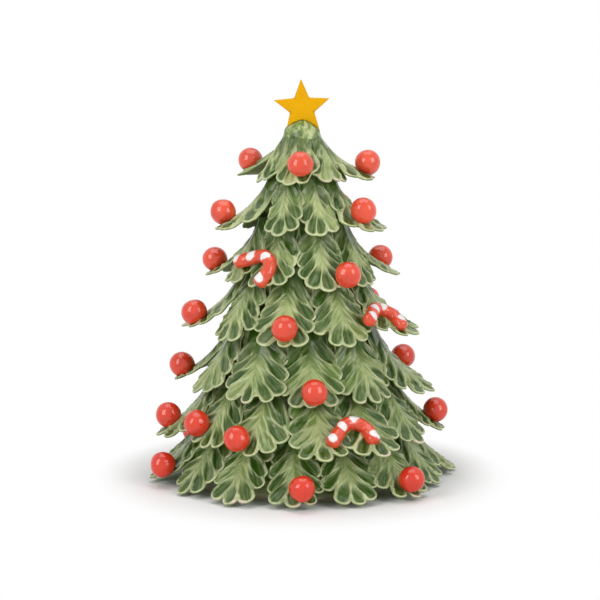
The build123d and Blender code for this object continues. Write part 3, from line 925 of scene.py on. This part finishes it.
class TREE_OT_canes(Operator):
    """Adds the candy canes, rolled rods bent to a hook and dabbed with white."""

    bl_idname = "ceramic_tree.canes"
    bl_label = "Candy canes"

    def execute(self, context):
        material = glazed("dabbed_cane_glaze", cane_glaze)
        sizes = context.scene.tree_ornaments
        radius, hook = sizes.cane_diameter / MM / 2.0, sizes.cane_hook / MM
        leg, tip = sizes.cane_leg / MM, sizes.cane_tip / MM
        sweep = math.radians(CANE_SWEEP)
        bend = hook * sweep
        total = leg + bend + tip
        rows, columns = CANE_GRID
        faces = grid_faces(rows, columns)
        ends = 0.5 - 0.5 * np.cos(np.linspace(0.0, math.pi, rows))
        run = total * (0.25 * ends + 0.75 * np.linspace(0.0, 1.0, rows))
        for order, (tier, azimuth, lean) in enumerate(CANE_PLACES, start=1):
            draw = np.random.default_rng([CANE_SEED, order])
            form = TIERS[tier - 1].form_at(azimuth)
            down = CANE_ALONG * form.length
            sideways, up_leaf, normal = form.axes(down, azimuth)
            middle = form.place(0.0, down, CANE_SEAT + radius, azimuth)
            lean = math.radians(lean)
            # Centre line in the leaf's plane: a straight leg, a clockwise arc, a straight tip
            turned = np.clip((run - leg) / hook, 0.0, sweep)
            heading = lean - turned
            straight = np.minimum(run - leg, 0.0) + np.maximum(run - leg - bend, 0.0)
            flat_x = -hook * np.sin(heading) + straight * np.cos(heading)
            flat_y = hook * np.cos(heading) + straight * np.sin(heading)
            line = middle + flat_x[:, None] * sideways + flat_y[:, None] * up_leaf
            side = -np.sin(heading)[:, None] * sideways + np.cos(heading)[:, None] * up_leaf
            # Rod: a circle that closes to a blunt round at both ends, a little uneven along its length
            to_end = np.minimum(run, total - run)
            close = np.sqrt(np.clip(1.0 - (1.0 - np.clip(to_end / CANE_BLUNT, 0.0, 1.0)) ** 2, 0.0, 1.0))
            phase = draw.uniform(0.0, TAU, 2)
            uneven = 1.0 + 0.03 * np.sin(0.35 * run + phase[0]) + 0.02 * np.sin(0.9 * run + phase[1])
            girth = radius * close * uneven
            turn = np.linspace(0.0, TAU, columns, endpoint=False)
            points = line[:, None] + girth[:, None, None] * (
                np.cos(turn)[None, :, None] * normal + np.sin(turn)[None, :, None] * side[:, None])
            # White dabs: ovals on the face of the rod, near both ends, on the leg and over the hook
            dab_runs = total * np.array(DAB_SHARES) + draw.uniform(-0.8, 0.8, len(DAB_SHARES))
            around = (np.minimum(turn, TAU - turn) * np.where(turn < math.pi, 1.0, -1.0))[None, :, None]
            skew = (run[:, None, None] - dab_runs) / DAB_HALF_LENGTH
            middle_turn = draw.uniform(-0.25, 0.35, len(DAB_SHARES))
            reach = np.sqrt(skew**2 + ((around - middle_turn - 0.3 * skew) / DAB_HALF_TURN) ** 2)
            fields = {"dab": reach.min(-1).ravel()}
            add_piece(f"cane_{order}", points.reshape(-1, 3), faces, material,
                      [f"candy_cane_{order}"], fields)
        return {"FINISHED"}


class TREE_OT_star(Operator):
    """Adds the star, cut from a slab with softened edges, its foot set in the core's collar."""

    bl_idname = "ceramic_tree.star"
    bl_label = "Star"

    def execute(self, context):
        sizes = context.scene.tree_ornaments
        outer, notch = sizes.star_radius / MM, sizes.star_notch / MM
        half = sizes.star_thickness / MM / 2.0
        lean = math.radians(STAR_LEAN)
        height = CORE_HEIGHT + notch + STAR_LIFT
        # Outline: straight edges between points and notches, softened by averaging along the edge
        corners = np.array([[r * math.cos(a), r * math.sin(a)] for r, a in zip(
            [outer, notch] * 5, 0.5 * math.pi + lean + math.pi / 5.0 * np.arange(10))])
        share = np.arange(STAR_STEPS)[None, :, None] / STAR_STEPS
        outline = (corners[:, None] * (1.0 - share) + np.roll(corners, -1, 0)[:, None] * share).reshape(-1, 2)
        kernel = np.array([1.0, 2.0, 3.0, 2.0, 1.0]) / 9.0
        outline = sum(weight * np.roll(outline, shift, 0) for weight, shift in zip(kernel, range(-2, 3)))
        # Rows from the front's middle over the rounded edge to the back's middle: (scale, inset, depth)
        bend = np.linspace(0.0, 0.5 * math.pi, 5)
        front = [(s, 0.0, half + STAR_CROWN * (1.0 - s)) for s in (0.002, 0.25, 0.5, 0.75, 0.9)]
        rounding = [
            (1.0, STAR_EDGE * (1.0 - math.sin(b)), half - STAR_EDGE * (1.0 - math.cos(b))) for b in bend
        ]
        rows_front = np.array(front + rounding)
        rows_back = rows_front[::-1] * [1.0, 1.0, -1.0]
        rows = np.concatenate([rows_front, rows_back])
        length = np.linalg.norm(outline, axis=1, keepdims=True)
        inset = outline * (1.0 - rows[:, None, 1:2] / length[None])
        flat = inset * rows[:, None, 0:1]
        depth = np.broadcast_to(rows[:, None, 2], flat.shape[:2])
        wave = 0.18 * np.sin(0.25 * flat[..., 0] + 0.7) * np.cos(0.3 * flat[..., 1] + 0.3)
        points = np.stack([flat[..., 0], -depth - wave, height + flat[..., 1]], -1).reshape(-1, 3)
        faces = grid_faces(len(rows), len(outline))
        add_piece("star_slab", points, faces, glazed("yellow_star_glaze", star_glaze), ["star"])
        return {"FINISHED"}


class TREE_OT_stage(Operator):
    """Adds the plain floor, the soft studio light and the camera at the photograph's angle."""

    bl_idname = "ceramic_tree.stage"
    bl_label = "Stage"

    def execute(self, context):
        scene = context.scene
        mesh = bpy.data.meshes.new("floor")
        corners = [(FLOOR_REACH * x, FLOOR_REACH * y, 0.0) for x, y in ((-1, -1), (1, -1), (1, 1), (-1, 1))]
        mesh.from_pydata(corners, [], [(0, 1, 2, 3)])
        floor = bpy.data.objects.new("floor", mesh)
        scene.collection.objects.link(floor)
        material, tree, shader = new_material("floor_paper")
        join(tree, shader, {
            "Base Color": scene.tree_glazes.floor, "Roughness": 0.9, "Specular IOR Level": 0.1,
        })
        seen = seen_directly(tree)
        where = put(tree, "ShaderNodeTexCoord").outputs["Object"]
        away = put(tree, "ShaderNodeVectorMath", {0: where}, operation="LENGTH").outputs["Value"]
        far = maths(tree, "MULTIPLY", ranged(tree, away, *FLOOR_FADE), seen)
        white = put(tree, "ShaderNodeEmission", {"Color": WHITE, "Strength": 1.0})
        both = put(tree, "ShaderNodeMixShader", {0: far, 1: shader.outputs[0], 2: white.outputs[0]})
        tree.links.new(both.outputs[0], tree.get_output_node("CYCLES").inputs[0])
        mesh.materials.append(material)

        world = bpy.data.worlds.new("studio")
        scene.world = world
        world.use_nodes = True
        tree = world.node_tree
        tree.nodes.clear()
        seen = seen_directly(tree)
        ambient = put(tree, "ShaderNodeBackground", {"Color": WHITE, "Strength": AMBIENT})
        backdrop = put(tree, "ShaderNodeBackground", {"Color": WHITE, "Strength": 1.0})
        both = put(tree, "ShaderNodeMixShader", {0: seen, 1: ambient.outputs[0], 2: backdrop.outputs[0]})
        put(tree, "ShaderNodeOutputWorld", {0: both.outputs[0]})

        for name, spot, size, power in SOFT_BOXES:
            light = bpy.data.lights.new(name, "AREA")
            light.shape = "RECTANGLE"
            light.size, light.size_y = size
            light.energy = power
            add_aimed(name, light, spot, LIGHT_AIM)

        camera = add_aimed("camera", bpy.data.cameras.new("camera"), CAMERA_PLACE, CAMERA_AIM)
        camera.data.lens = CAMERA_LENS
        camera.data.sensor_width = CAMERA_SENSOR
        camera.data.shift_x = CAMERA_SHIFT
        scene.camera = camera
        scene.view_settings.view_transform = "Standard"
        return {"FINISHED"}


class TREE_PT_panel(Panel):
    """Lists the tree's builders and their sizes and colours."""

    bl_idname = "TREE_PT_panel"
    bl_label = "Ceramic tree"
    bl_space_type = "VIEW_3D"
    bl_region_type = "UI"
    bl_category = "Tree"

    def draw(self, context):
        for builder in BUILDERS:
            self.layout.operator(builder.bl_idname)
        for group in (context.scene.tree_leaves, context.scene.tree_ornaments, context.scene.tree_glazes):
            box = self.layout.box()
            for key in group.__annotations__:
                box.prop(group, key)


BUILDERS = (TREE_OT_core, TREE_OT_leaves, TREE_OT_baubles, TREE_OT_canes, TREE_OT_star, TREE_OT_stage)
CLASSES = (LeafSizes, OrnamentSizes, GlazeColours, *BUILDERS, TREE_PT_panel)


def register():
    for kind in CLASSES:
        bpy.utils.register_class(kind)
    bpy.types.Scene.tree_leaves = PointerProperty(type=LeafSizes)
    bpy.types.Scene.tree_ornaments = PointerProperty(type=OrnamentSizes)
    bpy.types.Scene.tree_glazes = PointerProperty(type=GlazeColours)


def unregister():
    del bpy.types.Scene.tree_leaves
    del bpy.types.Scene.tree_ornaments
    del bpy.types.Scene.tree_glazes
    for kind in reversed(CLASSES):
        bpy.utils.unregister_class(kind)


def main():
    register()
    bpy.ops.ceramic_tree.core()
    bpy.ops.ceramic_tree.leaves()
    bpy.ops.ceramic_tree.baubles()
    bpy.ops.ceramic_tree.canes()
    bpy.ops.ceramic_tree.star()
    bpy.ops.ceramic_tree.stage()


if __name__ == "__main__":
    main()
